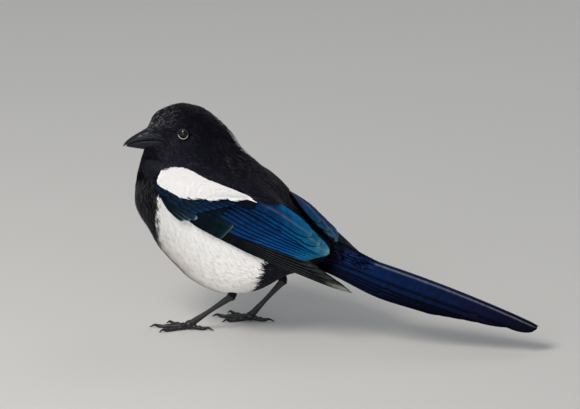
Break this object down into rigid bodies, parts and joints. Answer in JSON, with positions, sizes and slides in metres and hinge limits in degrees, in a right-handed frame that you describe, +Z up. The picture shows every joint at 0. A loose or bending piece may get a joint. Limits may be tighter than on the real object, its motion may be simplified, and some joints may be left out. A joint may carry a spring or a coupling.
{
  "type": "eurasian magpie",
  "caption": "Long-tailed black and white crow-like bird that stands with its head turned a little to its left and its wings folded, with blue and green gloss on wings and tail.",
  "frame": {"origin": "on the floor under the middle of the bird's bounding box, bill tip to tail tip", "axes": "+X from the bill towards the tail, +Y towards the bird's right side, +Z up; the bird's left side faces -Y"},
  "size_m": [0.3934, 0.102, 0.2151],
  "materials": {
    "plumage_black": "soft black feathers with a faint blue and purple gloss",
    "plumage_white": "soft white feathers, a little cream low on the breast",
    "wing_gloss": "smooth glossy feathers, blue to teal on the inner wing and black on the primaries",
    "tail_gloss": "smooth glossy feathers, dark blue with a green and purple sheen",
    "horn": "black horn of the bill and claws, satin",
    "eye": "wet dark brown eye",
    "leg_scales": "black scaly skin of the legs and toes, satin"
  },
  "bodies": {
    "root": {"head": "plumage_black", "neck": "plumage_black", "breast": "plumage_black", "belly": "plumage_white", "mantle": "plumage_black", "rump": "plumage_black", "bill_upper": "horn", "bill_lower": "horn", "eye_left": "eye", "eye_right": "eye", "wing_left": "wing_gloss", "wing_right": "wing_gloss", "scapulars_left": "plumage_white", "scapulars_right": "plumage_white", "tail": "tail_gloss", "thigh_left": "plumage_black", "thigh_right": "plumage_black", "shank_left": "leg_scales", "shank_right": "leg_scales", "foot_left": "leg_scales", "foot_right": "leg_scales", "claw_left_inner": "horn", "claw_left_middle": "horn", "claw_left_outer": "horn", "claw_left_hind": "horn", "claw_right_inner": "horn", "claw_right_middle": "horn", "claw_right_outer": "horn", "claw_right_hind": "horn"}
  },
  "joints": []
}
